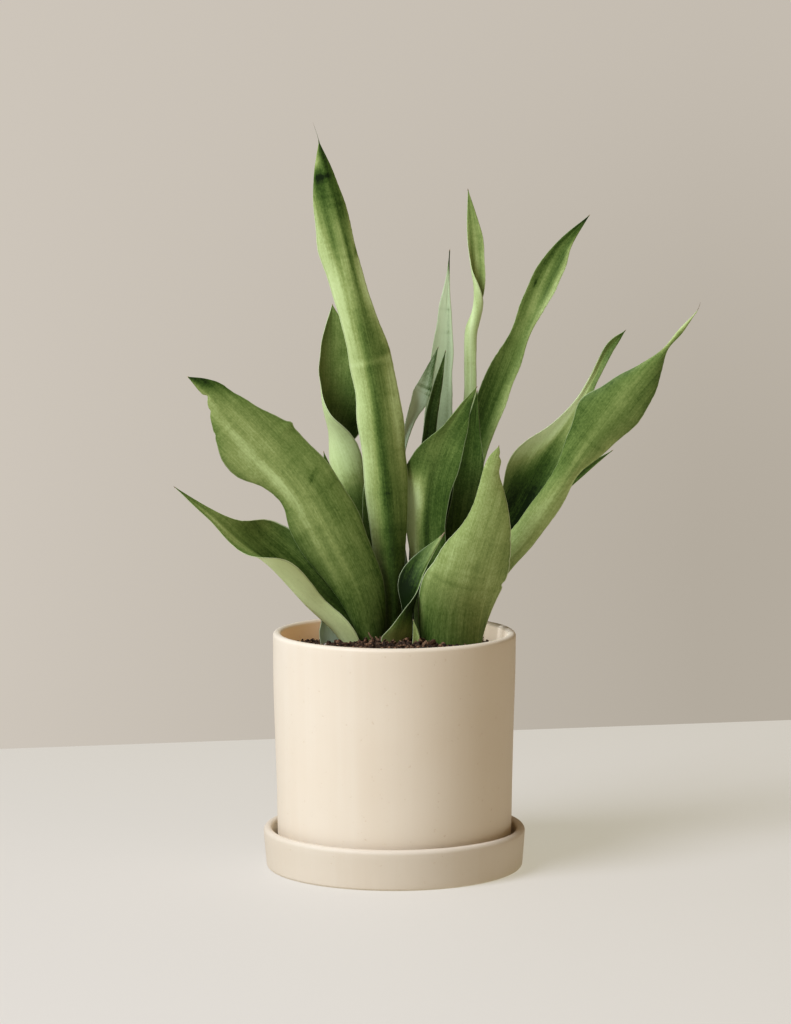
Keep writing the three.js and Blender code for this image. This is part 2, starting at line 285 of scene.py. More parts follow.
# ring says that the profile closes on itself, so that there are no poles; change may move
# the points before they are meshed.
def addTurned(name, profile, setting, seed, slot, replaced, change=None, ring=False):
    points = turnedPoints(profile, setting["turns"], setting["unevenMm"], seed)
    if change:
        points = change(points)
    rows, cols = points.shape[:2]
    verts = points.reshape(-1, 3)
    if ring:
        r = np.arange(rows)[:, None]
        j = np.arange(cols)[None, :]
        down, k = (r + 1) % rows, (j + 1) % cols
        faces = np.stack([r * cols + j, r * cols + k, down * cols + k, down * cols + j],
                         -1).reshape(-1, 4).tolist()
    else:
        ends = [[0, 0, profile[0, 1]], [0, 0, profile[-1, 1]]]
        verts = np.concatenate([verts, ends])
        faces = tubeFaces(rows, cols)
    piece = addPiece(name, verts * mm, faces, slot, replaced)
    run = np.concatenate([[0], np.cumsum(np.linalg.norm(np.diff(profile, axis=0), axis=1))])
    u = np.tile(np.arange(cols) / cols, rows)
    v = np.repeat(run / 100, cols)
    if not ring:
        u, v = np.append(u, [0, 0]), np.append(v, [v[0], v[-1]])
    addMap(piece, "glazeMap", u, v, 1.0)
    return piece


def potProfile(s):
    innerTop, innerBase = s["topR"] - s["wall"], s["baseR"] - s["wall"]
    footZ, under = s["floorZ"], s["floorZ"] + s["recess"]
    floorTop = under + s["floorThick"]
    rim, foot, drain = s["rimZ"] - s["round"], s["footInnerR"], s["drainR"]
    bevel, low, corner = s["drainBevel"], s["baseRound"], s["floorRound"]
    inside, lip, flat = (foot + step for step in s["footSteps"])
    return evenProfile(np.concatenate([
        [[drain + bevel, under], [inside, under], [lip, footZ + s["footLip"]]],
        [[flat, footZ], [s["baseR"] - low - 0.1, footZ]],
        arcPoints(s["baseR"] - low, footZ + low, low, -80, 0, 5),
        arcPoints(s["topR"] - s["round"], rim, s["round"], 0, 90, 8),
        arcPoints(innerTop + s["round"], rim, s["round"], 90, 180, 8),
        [[innerBase, floorTop + corner]],
        arcPoints(innerBase - corner, floorTop + corner, corner, 0, -90, 5),
        [[drain + bevel, floorTop], [drain, floorTop - bevel], [drain, under + bevel]],
    ]), s["profileStep"])


# Lifts the foot ring's underside in a bell about each notch angle, so water can drain.
def cutNotches(points):
    s = potSet
    radius = np.hypot(points[..., 0], points[..., 1])
    angle = np.arctan2(points[..., 1], points[..., 0])
    foot = (radius > s["footInnerR"]) & (points[..., 2] < s["floorZ"] + s["recess"])
    for notch in s["notches"]:
        turn = angle - math.radians(notch + 90)
        near = (np.cos(turn) > 0) * bell(radius * np.sin(turn), 0, s["notchWidth"] / 2)
        lift = (s["floorZ"] + s["recess"] - points[..., 2]) * near * foot
        points[..., 2] += np.maximum(lift, 0)
    return points


def saucerProfile(s):
    lip, well = s["wall"] / 2, s["wellRound"]
    inner = s["topR"] - s["wall"] - s["wellSlope"]
    middle = 3                      # the innermost ring, round the pole
    return evenProfile(np.concatenate([
        [[middle, 0], [s["baseR"] - 0.2, 0]],
        arcPoints(s["baseR"], s["corner"], s["corner"], -85, -5, 5),
        arcPoints(s["topR"] - lip, s["height"] - lip, lip, 0, 180, 16),
        [[inner, s["floorZ"] + well]],
        arcPoints(inner - well, s["floorZ"] + well, well, 0, -90, 5),
        [[middle, s["floorZ"]]],
    ]), s["profileStep"])


# Cream glaze: milk-pale streaks that run down the wall, faint clouding, warmer patches and
# fine pits. The inner wall glows a little: painted light, an emission that stands in for the
# light that bounces about in it.
def glazeMaterial(name, shade):
    p, g = Paint(name), glazeSet
    # a shade below 1 darkens the whole glaze as painted shade, as on the saucer
    cream, milk = (tuple(shade * c for c in g[key]) for key in ("cream", "milk"))
    where = p.objectPoint()
    clouds = p.noise(where, 9.0, 3, 0.5)
    streaks = p.noise(p.stretch(where, 210, 210, 5), 1.0, 3, 0.6)
    broad = p.noise(p.stretch(where, 46, 46, 2.2, (3, 1, 0)), 1.0, 2, 0.5)
    grain = p.noise(where, 1500.0, 2, 0.6)
    pits = p.step(p.noise(where, 420.0, 1, 0.5), 0.71, 0.79)
    colour = p.mix(p.step(clouds, 0.3, 0.7) * g["clouding"], cream, milk)
    colour = p.mix(p.step(streaks, 0.42, 0.75) * g["streaking"], colour, milk)
    colour = p.mix(p.step(broad, 0.48, 0.8) * g["toasting"], colour, g["toast"])
    colour = p.mix(pits * g["pitting"], colour, g["toast"])
    height = grain * 0.25 + streaks * 0.5 - pits * 1.2
    # painted light: an emission on the inner wall in place of the light that bounces in it
    paintedBounce = p.mix(p.number("rightward"), g["paintedBounceLeft"], g["paintedBounceRight"])
    glow = p.mix(p.number("inner"), (0.0, 0.0, 0.0), paintedBounce)
    return p.finish({"Base Color": colour, "Roughness": streaks * 0.14 + g["rough"],
                     "Normal": p.bump(height, g["bumpMetres"], 0.55), "Emission Color": glow},
                    {"Specular IOR Level": 0.42, "IOR": 1.5, "Emission Strength": 1.0})


# Marks the pot's inner wall, where a painted glow stands in for the light that bounces
# between the glaze and the leaves: inner grows from 0 at innerFrom to 1 at innerTo, and
# rightward from 0 at the left to 1.
def markInner(piece):
    x, y, z = readAll(piece.data.vertices, "co", float, 3).reshape(-1, 3).T / mm
    g, s = glazeSet, potSet
    inside = np.hypot(x, y) < s["topR"] - 0.6 * s["wall"]
    above = np.clip((z - g["innerFrom"]) / (g["innerTo"] - g["innerFrom"]), 0, 1)
    fade = np.clip((s["rimZ"] + 0.3 - z) / s["round"], 0, 1)
    addNumbers(piece, "inner", inside * above * fade)
    addNumbers(piece, "rightward", np.clip(0.5 + 0.6 * x / s["topR"], 0, 1))


pot = addTurned("potShell", potProfile(potSet), potSet, 3, "cream_ceramic", ["pot"],
                cutNotches, ring=True)
saucer = addTurned("saucerDish", saucerProfile(saucerSet), saucerSet, 8, "cream_ceramic",
                   ["saucer"])
pot.data.materials.append(glazeMaterial("potGlaze", 1.0))
# The saucer's glaze is a darker copy of the pot's: painted shade for the less lit saucer.
saucer.data.materials.append(glazeMaterial("saucerGlaze", glazeSet["saucerPaintedShade"]))
markInner(pot)
print("pot and saucer made")


# Names that end in Mm and the thicknesses are millimetres. The three sizes are how far apart
# the ups and downs of a margin or of the surface lie. A narrow blade's half thickness is at
# most thinHalf plus thinShare of its half width.
leafSet = {
    "rowMm": 1.6, "minRows": 28, "columns": 64, "halfThick": 1.5, "marginHalf": 0.45,
    "minHalf": 0.3, "tipThinning": 0.55, "jagMm": 0.05, "jagSize": 6, "waverMm": 0.25,
    "waverSize": 34, "rippleMm": 0.25, "rippleSize": 42, "creaseReach": 0.16,
    "thinHalf": 0.15, "thinShare": 0.16, "needle": 0.8, "needleRows": 8,
    "needleTaper": 0.75, "hair": 0.6,
}
# The CAD part's blades, in millimetres, moved by a few where that fits better. midrib runs
# from the base in the soil to the tip; left and right are half widths; turn swings the face
# about the midrib (0 faces front, 90 faces right); cup curls each half towards the face, and
# crease sharpens that into a fold at the midrib. Lists spread evenly along. nicks are bites
# (half, along, depth, reach). A dry point of length needle, which starts hair times as wide
# as the tip and curves by bend, carries the tip on.
leaves = {
    "tallFront": dict(
        needle=9, hair=0.35, bend=(-2, 0, 3),
        crease=[0.7, 0.8, 0.8, 0.6, 0.4],
        midrib=[[-1, 13, 120], [-1, 10, 174], [-3, 6, 218], [-7, 2, 263], [-13, -2, 308],
                [-22, -6, 352], [-32, -10, 396], [-41, -13, 432], [-47, -14, 461]],
        left=[9, 11, 13.5, 15, 15.5, 15, 14, 13, 14.5, 17, 13, 7.5, 0],
        right=[7, 8, 9.5, 13, 15.5, 16.5, 16, 13.5, 9, 8, 8, 5, 0],
        cup=[-75, -50, -35, -30, -26, -24, -24, -22, -20]),
    "broadLeft": dict(
        nicks=[("right", .585, -1.8, .01), ("left", .865, 2.2, .014), ("left", .81, 1.2, .01),
               ("left", .73, .8, .008)],
        midrib=[[-14, 6, 120], [-24, -2, 170], [-41, -9, 208], [-59, -14, 241], [-80, -18, 267],
                [-99, -22, 287], [-115, -25, 303], [-129, -27, 315]],
        left=[6, 5, 10, 15, 19, 19, 15, 17, 26, 25, 18, 11, 4, 2, 0],
        right=[6, 14, 20, 23, 25, 26, 25, 24, 23, 19, 15, 12, 10, 6, 0],
        cup=[-50, -30, -25, -22, -20, -15, -15, -10]),
    "lowLeft": dict(
        midrib=[[-21, 3, 120], [-35, -3, 148], [-56, -10, 170], [-77, -18, 194],
                [-97, -26, 212], [-115, -33, 229], [-137, -38, 247]],
        left=[6, 10, 11, 11, 13, 15, 12, 8, 5, 3, 0], right=[6, 24, 34, 32, 29, 11, 3.5, 0],
        turn=[95, 95, 95, 88, 66, 62, 60], cup=[60, 75, 90, 80, 50, 50, 20],
        cupLeft=[70, 90, 105, 80, -10, -20, 0], crease=[0.8, 0.8, 0.6, 0.2, 0, 0]),
    "twistedLeft": dict(
        nicks=[("left", .78, 1.6, .012), ("left", .66, 1, .01)],
        midrib=[[-13, 26, 120], [-18, 29, 173], [-27, 33, 218], [-38, 38, 260], [-43, 42, 285],
                [-41, 45, 309], [-40, 48, 332], [-40, 50, 356]],
        left=[6, 9, 12, 14, 22, 33, 28, 20, 16, 10, 0],
        right=[6, 11, 14, 17, 16, 13, 9, 0],
        turn=[0, 0, -10, -45, -112, -150, -160, -165],
        cup=[-60, -50, -50, -60, -60, -50, -40, -30],
        cupLeft=[-60, -55, -50, -60, -110, -128, -90, -60, -45, -35, -30]),
    "innerLeft": dict(
        midrib=[[-8, 24, 120], [-11, 24, 174], [-16, 23, 220], [-18, 22, 253]],
        left=[4, 5, 5, 4, 0], right=[4, 4, 4, 3, 0], cup=[40, 30]),
    "backLeft": dict(
        midrib=[[-16, 16, 120], [-26, 15, 173], [-36, 14, 225], [-45, 14, 264]],
        left=[4, 8, 9, 7, 0], right=[4, 10, 11, 7, 0], cup=[40, 30]),
    "paleBack": dict(
        slot="leaf_silver",
        midrib=[[18, 42, 120], [23, 48, 191], [28, 52, 249], [30, 59, 287], [32, 66, 326],
                [34, 71, 358], [36, 75, 390]],
        left=[5, 7, 9, 10.5, 11, 11, 10.5, 9, 7.5, 6, 4, 1.2, 0],
        right=[5, 7, 8.5, 9, 9, 8.5, 8, 7, 6.5, 5, 2.5, 1, 0],
        cup=[40, 35, 30, 30, 30, 30, 20]),
    "curledBack": dict(
        slot="leaf_silver",
        midrib=[[8, 25, 120], [8, 26, 170], [3, 28, 220], [5, 30, 261], [12, 33, 288],
                [20, 35, 304], [28, 38, 329]],
        left=[4, 4, 3, 2.2, 1.8, 2, 3, 5.5, 6.5, 4, 0],
        right=[4, 4, 3, 2.2, 1.8, 2, 3, 5.5, 6.5, 3.5, 0],
        turn=[0, 0, 0, 0, 20, -20, -40], cup=[30, 30, 30, 40, 50, 50, 30]),
    "darkBack": dict(
        midrib=[[13, 31, 120], [15, 36, 192], [19, 40, 243], [23, 44, 282], [28, 47, 304],
                [33, 50, 326]],
        left=[5, 6, 5, 3.5, 3, 0], right=[5, 7, 6, 5, 3, 0], cup=[40, 30]),
    "twistedBack": dict(
        midrib=[[37, 42, 120], [43, 52, 190], [48, 60, 248], [50, 67, 299], [50, 72, 332],
                [52.5, 76, 358], [53, 80, 390], [48, 84, 429]],
        left=[5, 8, 7, 6, 5, 4.5, 5, 7, 6.5, 5, 0],
        right=[5, 6, 5, 3.5, 3.5, 3.5, 4, 7, 7, 5, 0],
        turn=[0, 0, 0, 0, 0, 0, -8, -80, -155, -172, -180],
        cup=[-15, -15, -12, -10, -10, -12, -40, -120, -80, -30, -20]),
    "leaningRight": dict(
        midrib=[[27, 35, 120], [35, 38, 186], [46, 41, 237], [59, 43, 279], [73, 46, 314],
                [85, 50, 345], [95, 54, 370], [108, 58, 393], [126, 62, 413]],
        left=[6, 9, 12, 13, 13.5, 13.5, 12.5, 8, 8, 8, 6, 3, 0],
        right=[6, 9, 10, 9, 7, 8, 7, 6, 8, 11, 9, 4, 0],
        cup=[50, 45, 40, 40, 35, 35, 30, 30, 20]),
    "frontMiddle": dict(
        midrib=[[22, 21, 120], [22, 20, 185], [21, 16, 221], [24, 9, 250], [31, 3, 273],
                [41, -2, 291], [52, -6, 307]],
        left=[7, 8, 10, 11.5, 12.5, 14, 15.5, 18, 22, 19, 15.5, 11.5, 8, 5, 3.5, 2.5, 2, 1, 0],
        right=[7, 10, 13, 14, 15.5, 17, 15.5, 11, 5, 0],
        cup=[45, 40, 40, 35, 30, 25, 20],
        cupLeft=[20, -10, -25, -32, -25, 5, 35, 30, 20], crease=[.5, .7, .7, .6, .2, .1, 0]),
    "darkMiddle": dict(
        midrib=[[32, 31, 120], [40, 29, 187], [46, 26, 233], [50, 26, 265], [53, 26, 302]],
        left=[5, 9, 11, 10, 9, 6, 0], right=[6, 9, 11, 11, 9, 4, 0],
        cup=[40, 35, 30, 30, 20]),
    "broadFront": dict(
        nicks=[("right", .31, 1.6, .01), ("right", .43, .9, .006), ("right", .52, .7, .006),
               ("right", .93, 1.2, .02)],
        midrib=[[35, 1, 120], [37, -9, 162], [43, -20, 189], [50, -28, 214], [57, -34, 238],
                [61, -39, 258], [65, -42, 273]],
        left=[20, 22, 25, 25, 20, 15, 10, 7, 6, 6, 4, 0],
        right=[20, 23, 27, 29, 30, 27, 23, 17, 10, 5, 4, 0],
        cup=[-50, -44, -38, -32, -28, -25, -20]),
    "broadRight": dict(
        needle=4, bend=(0, 0, 3),
        midrib=[[37, 12, 120], [61.5, 4, 182], [84, -5, 213], [103, -14, 243], [121, -22, 271],
                [139, -28, 296], [156, -33, 318], [171, -37, 336], [187, -40, 356]],
        left=[6, 8, 10, 11, 10, 9, 10, 15, 21, 16, 10, 4, 1.4, 1.5, 0],
        right=[4, 7, 8, 8, 9, 8, 7, 11, 16, 17, 14, 8, 1.4, 1.6, 0],
        cup=[-70, -55, -45, -40, -30, -25, -25, -30, -30]),
    "innerRight": dict(
        midrib=[[37, 26, 120], [61.5, 25, 190], [81, 25, 229], [97, 26, 259], [113, 28, 284],
                [127, 31, 309], [137, 34, 328], [148, 36, 340]],
        left=[6, 9, 13, 18, 22, 12, 5, 3, 3, 3, 0],
        right=[7, 11, 14, 18, 19, 16, 8, 4, 4, 3, 0],
        cup=[60, 50, 45, 40, 40, 50, 50, 20]),
    "backRight": dict(
        midrib=[[41, 33, 120], [57, 37, 171], [85, 48, 215], [114, 59, 240], [142, 66, 260]],
        left=[5, 6, 6, 5, 0], right=[4, 3, 3, 3, 0], cup=[40, 30]),
    "cuppedFront": dict(
        midrib=[[2, 3, 120], [9, 1, 146], [11, 0, 165], [17, 3, 185], [32, 8, 213]],
        left=[6, 9, 11, 14, 0], right=[8, 22, 12, 2, 0],
        turn=[-120, -115, -80, -45, -40], cup=[50, 50, 50, 45, 20],
        cupRight=[60, 60, 70, 50, 20]),
    "sprout": dict(
        midrib=[[12, -6, 120], [14, -7, 145], [12, -7, 159]],
        left=[3, 3, 2, 0], right=[3, 3, 2, 0], cup=[40, 30]),
    "stubLeft": dict(
        slot="leaf_silver",
        midrib=[[-38, 10, 120], [-42, 9, 144], [-44, 9, 155], [-47, 8, 164]],
        left=[5, 7.5, 7, 3, 0], right=[5, 7.5, 7, 2.5, 0], turn=[20, 20], cup=[50, 50]),
}
# How each blade is coloured. Its tone rows are the painted lightness of its face, base to tip,
# and its back tone rows that of its other side; besides the blade's own light and dark green,
# they paint light and shade, lighter where a face should catch the light and down to near
# black where it lies in shade. pale mixes in silver, bands is the strength of the cross marks
# and rim of the pale margin line, and dry is how far the tip has dried, in millimetres.
# patches are (along, across, reach along, reach across, lightness added), for the face alone.
leafLooks = {
    "tallFront": dict(
        tone=[[.55, .4, .3, .25, .3, .35, .35], [.65, .5, .35, .25, .25, .3, .35],
              [.9, .65, .45, .25, .3, .35, .4], [1.1, .8, .55, .2, .4, .5, .5],
              [1.2, .9, .7, .2, .5, .65, .6], [1.25, .95, .8, .25, .6, .9, .8],
              [1.25, 1, .85, .4, .55, .85, 1.1], [1.25, 1, .75, .45, .5, .6, .8],
              [1.35, 1.15, .85, .7, .45, .9, 1.3], [1.2, .95, .5, .75, .35, .65, 1],
              [.95, .55, .3, .5, .2, .35, .6], [.4, .15, .15, .25, .12, .2, .35],
              [.8, .5, .2, .1, .05, .1, .2]],
        patches=[(.54, .1, .006, 2, .15), (.555, .75, .012, .3, -.25),
                 (.735, .95, .012, .2, -.5), (.905, -.3, .007, .8, -.3),
                 (.945, -.7, .02, .4, .5)],
        bands=.6, rim=.6),
    "broadLeft": dict(
        tone=[[.3, .3, .35, .3, .3], [.35, .4, .45, .4, .3], [.4, .6, .65, .5, .4],
              [.55, .75, .7, .55, .55], [.6, .9, .65, .55, .55], [.6, .8, .75, .6, .55],
              [.55, .75, .75, .55, .5], [.8, .8, .6, .4, .3], [.35, .3, .25, .2, .2]],
        patches=[(.5, -.33, .3, .12, .15), (.36, .45, .04, .2, -.12),
                 (.93, .6, .06, .6, -.2), (.44, .4, .006, .03, -.5),
                 (.445, .5, .004, .03, -.4), (.45, .6, .006, .04, -.5)],
        bands=.7, rim=.2),
    "lowLeft": dict(
        tone=[[.3, .25, .2, .25, .3], [.35, .25, .2, .25, .3], [.4, .3, .25, .3, .4],
              [.45, .45, .3, .35, .45], [.45, .75, .45, .45, .5], [.5, .8, .6, .6, .6],
              .3],
        backToneAndShade=[1.2, 1.4, 1.5, 1.5, 1.3, .9, .3], bands=.4, rim=.8),
    "twistedLeft": dict(
        tone=[.35, .4, .4, .6, [1.2, 1.2, 1], 1.3, 1.3, 1.2, 1.1, 1.1, 1],
        backToneAndShade=[.5, .5, .5, .45, .4, [.3, .35, .5], [.3, .4, .55], [.4, .5, .6],
                  [.5, .55, .6], .55, .5],
        patches=[(.33, .4, .05, .6, -.35)], bands=.3, rim=.7),
    "innerLeft": dict(tone=[.3, .35, .4], bands=.3),
    "backLeft": dict(tone=[.3, .3, .35], bands=.3),
    "paleBack": dict(
        tone=[.4, [.5, .6, .7, .7, .8], [.7, .9, .75, .6, 1], [.8, 1.1, .85, .6, 1.1],
              [.9, 1.2, .95, .7, 1.15], [1.1, 1.4, 1.15, .75, 1.3], [1.3, 1.5, 1.3, .85, 1.2],
              [1.1, 1.2, 1, .7, .8]],
        patches=[(1, 0, .07, 3, -1.6), (.8, 0, .006, 2, -.35), (.72, .2, .006, 1, -.25)],
        pale=.6, bands=.3, rim=.5),
    "curledBack": dict(
        tone=[.9, .9, .9, [1.2, 1, .8], [1.4, 1.2, 1], [1.4, 1.2, .9], [1.1, .95, .6],
              [.55, .5, .3], [.3, .25, .2]],
        patches=[(.83, 0, .006, 2, -.3), (.8, 0, .005, 2, -.2)], pale=.9, bands=.3, rim=.3),
    "darkBack": dict(tone=[.15, .15, [.1, .1, .2], .2, .25, .25], pale=.2, bands=.3),
    "twistedBack": dict(
        tone=[.9, 1, [1.5, 1.1, 1.35, 1, 1.5], [1.5, 1.15, 1.4, 1, 1.5],
              [1.5, 1.1, 1.4, 1, 1.5], 1.2, 1],
        backToneAndShade=[.6, .6, .65, [.8, .65, .8, .6, .8], [.8, .6, .85, .6, .8], .6], bands=.7,
        rim=.7),
    "leaningRight": dict(
        tone=[[.2, .2, .25, .3, .4], [.2, .2, .25, .35, .5], [.2, .15, .2, .35, .6],
              [.25, .22, .25, .4, .75], [.35, .3, .3, .55, .8], [.45, .5, .5, .5, .65],
              [.5, .45, .65, .55, .9], [.45, .3, .6, .38, 1], [.35, .25, .4, .35, .75],
              .2],
        patches=[(.74, -.5, .012, .12, -.3), (.985, 0, .015, 2, -.2)], bands=.2, rim=.35),
    "frontMiddle": dict(
        tone=[[.4, .3, .25, .25, .25, .2, .2], [.5, .4, .3, .3, .3, .25, .2],
              [.8, .75, .35, .3, .3, .25, .2], [1.1, 1.1, .5, .25, .3, .25, .2],
              [1.3, 1.4, .8, .25, .25, .25, .2], [1.3, 1.4, 1.1, .3, .25, .25, .2],
              [.4, .45, .45, .35, .35, .3, .3], [.38, .42, .45, .45, .4, .35, .3],
              [.42, .42, .45, .45, .42, .35, .3], [.4, .4, .4, .4, .35, .35, .3],
              [.4, .4, .4, .35, .35, .3, .3], [.4, .4, .35, .35, .3, .3, .3], .4],
        bands=.2, rim=.3),
    "darkMiddle": dict(tone=[[.15, .15, .2], [.2, .25, .25], [.25, .3, .3], [.25, .3, .3],
                             [.2, .25, .3]], bands=.3, rim=.4),
    "broadFront": dict(
        tone=[[.1, .15, .2, .3, .35], [.3, .35, .45, .5, .5], [.6, .6, .65, .7, .7],
              [.78, .78, .75, .75, .72], [.75, .8, .75, .7, .6], [.75, .78, .75, .75, .7],
              [.78, .78, .78, .78, .7], .8, .8, .7],
        patches=[(.29, -.2, .01, .9, -.14), (.335, .2, .006, .7, -.07)], bands=.4, rim=.75),
    "broadRight": dict(
        tone=[[.5, .6, .5, .5, .5], [.6, .7, .65, .6, .6], [.8, .8, .75, .75, .7],
              [.6, .7, .75, .8, .9], [.42, .45, .5, .7, .9], [.42, .42, .5, .55, .65],
              [.4, .5, .6, .5, .5], [.55, .5, .55, .45, .45], [1.1, .9, .7, .6, .6],
              [1.3, 1.2, 1.1, .9, .8]],
        patches=[(.45, -.1, .2, .12, .15), (.66, .05, .006, .04, -.4)],
        bands=.5, rim=.4, dry=4),
    "innerRight": dict(
        tone=[.1, [.1, .05, .05, .1, .15], [.1, .05, .03, .1, .2], [.55, .2, .05, .15, .3],
              [1.4, 1.1, .3, .4, .5], [1.5, 1.35, .8, .6, .5], [1.4, 1.2, .9, .6, .5],
              [.7, .65, .55, .5, .5], [.5, .45, .4, .4, .4], .3], bands=.2, rim=.5),
    "backRight": dict(tone=[.4, .4, [.2, .2, .4], [.3, .2, .3]], bands=.3, rim=.9),
    "cuppedFront": dict(
        tone=[-.1, -.1, -.1, -.1, [-.1, -.1, .1], [-.1, 0, .3], [.05, .2, .6], [.3, .6, .8],
              [.7, .8, .8]],
        backToneAndShade=[.7, .7, .6, [0, 0, .1], [-.1, -.1, .1], [.1, .2, .4], .6], bands=.1, rim=.6,
        dry=5),
    "sprout": dict(tone=[.7, .8], rim=.6),
    "stubLeft": dict(tone=[1.3, 1.5], backToneAndShade=[1.4, 1.5], pale=1, bands=.1),
}


# A blade's midrib frame at each t: the point, the way its face looks and the way across it.
def midribFrames(leaf, t):
    centre = alongCurve(leaf["midrib"], t)
    tangent = (alongCurve(leaf["midrib"], np.clip(t + 1e-4, 0, 1))
               - alongCurve(leaf["midrib"], np.clip(t - 1e-4, 0, 1)))
    tangent /= np.linalg.norm(tangent, axis=1)[:, None]
    front = np.array([0.0, -1.0, 0.0])
    facing = front - (tangent @ front)[:, None] * tangent
    facing /= np.linalg.norm(facing, axis=1)[:, None]
    beside = np.cross(tangent, facing)
    angle = np.radians(alongCurve(leaf.get("turn", [0, 0]), t))[:, None]
    face = np.cos(angle) * facing + np.sin(angle) * beside
    side = np.cos(angle) * beside - np.sin(angle) * facing
    return centre, tangent, face, side


# Half a blade's section: its slope starts level at the midrib and reaches the cup angle at
# the margin. It grows evenly (crease 0) or all at once beside the midrib (crease 1). Adding
# up cosines and sines of the slope gives how far out and how far up each point lies.
def halfSection(cup, crease, reach):
    steps = 64
    u = np.linspace(0, 1, steps + 1)
    sharp = np.tanh(u / leafSet["creaseReach"])
    slope = cup[:, None] * ((1 - crease[:, None]) * u + crease[:, None] * sharp / sharp[-1])
    middle = (slope[:, 1:] + slope[:, :-1]) / 2
    zero = np.zeros((len(cup), 1))
    out = np.concatenate([zero, np.cumsum(np.cos(middle), axis=1) / steps], axis=1)
    up = np.concatenate([zero, np.cumsum(np.sin(middle), axis=1) / steps], axis=1)
    place = np.minimum(reach * steps, steps - 1e-6)
    i = place.astype(int)
    f = place - i
    return [c[:, i] * (1 - f) + c[:, i + 1] * f for c in (out, up, slope)]


# A blade's surface for (t along, angle round its section). s = -cos(angle) runs from one
# margin to the other over the face and back under it. The middle layer follows the half
# sections, plus a faint ripple along the face's direction. Each skin stands off it by the
# half thickness, which thins to rounded margins and towards the tip.
def leafPoints(name, leaf):
    s = leafSet
    seed = sum(ord(c) * (i + 3) for i, c in enumerate(name))
    steps = np.linalg.norm(np.diff(np.array(leaf["midrib"], float), axis=0), axis=1)
    length = steps.sum()
    rows = max(s["minRows"], round(length / s["rowMm"]))
    t = np.linspace(0, 1, rows)
    centre, tangent, face, side = midribFrames(leaf, t)
    run = t * length
    fade = np.clip(4 * t * (1 - t), 0, 1) ** 0.5
    halves = []
    for k, half in enumerate(("left", "right")):
        width = np.maximum(alongCurve(leaf[half], t), 0)
        jag = (s["jagMm"] * waveNoise(seed + k, s["jagSize"], run)
               + s["waverMm"] * waveNoise(seed + 2 + k, s["waverSize"], run))
        width = width + jag * fade * np.clip(width / 8, 0, 1)
        for which, at, deep, reach in leaf.get("nicks", ()):
            if which == half:
                width = width - deep * bell(t, at, reach)
        halves.append(np.maximum(width, s["minHalf"]))
    phi = np.linspace(0, 2 * np.pi, s["columns"], endpoint=False)
    across = -np.cos(phi)
    skin = np.where(np.abs(np.sin(phi)) < 1e-9, 0, np.sign(np.sin(phi)))[None, :]
    crease = alongCurve(leaf.get("crease", [0, 0]), t)
    sections = [halfSection(np.radians(alongCurve(leaf.get(key, leaf["cup"]), t)), crease,
                            np.abs(across)) for key in ("cupLeft", "cupRight")]
    isLeft = (across < 0)[None, :]
    width = np.where(isLeft, halves[0][:, None], halves[1][:, None])
    out, up, slope = (np.where(isLeft, a, b) for a, b in zip(*sections))
    across = across[None, :] + 0 * t[:, None]
    slope = slope * np.sign(across)
    ripple = s["rippleMm"] * waveNoise(seed + 5, s["rippleSize"], run[:, None], 9 * across)
    lift = width * up + ripple * across ** 2 * fade[:, None] * np.minimum(width / 10, 1)
    sideways = width * out * np.sign(across)
    taper = (1 - s["tipThinning"] * t)[:, None]
    thick = s["marginHalf"] + (s["halfThick"] * taper - s["marginHalf"]) * (1 - across ** 2)
    thick = np.minimum(thick, s["thinHalf"] + s["thinShare"] * width)
    thick = thick * np.sqrt(1 - np.abs(across) ** 10)
    bend = slope[..., None]
    outward = np.cos(bend) * face[:, None] - np.sin(bend) * side[:, None]
    points = (centre[:, None] + side[:, None] * sideways[..., None]
              + face[:, None] * lift[..., None] + outward * (skin * thick)[..., None])
    return points, t, run, across, skin + 0 * across, width, tangent


# Values painted on a blade: rows of numbers spread evenly from base to tip, each row spread
# evenly from the left margin to the right, with smooth steps between neighbours.
def paintedTone(rows, t, across):
    rows = [r if isinstance(r, list) else [r, r] for r in rows]
    widest = max(map(len, rows))
    rows = np.array([np.interp(np.linspace(0, 1, widest), np.linspace(0, 1, len(r)), r)
                     for r in (rows if len(rows) > 1 else rows * 2)])
    along = alongCurve(rows, t)
    last = rows.shape[1] - 1
    place = np.clip((across + 1) / 2 * last, 0, last - 1e-6)
    i = place.astype(int)
    f = place - i
    f = f * f * (3 - 2 * f)
    row = np.arange(len(t))[:, None]
    return along[row, i] * (1 - f) + along[row, i + 1] * f


# The CAD node that a blade takes the place of, such as leaf_tall_front for tallFront.
def leafNode(name):
    return "leaf_" + "".join("_" + c.lower() if c.isupper() else c for c in name)


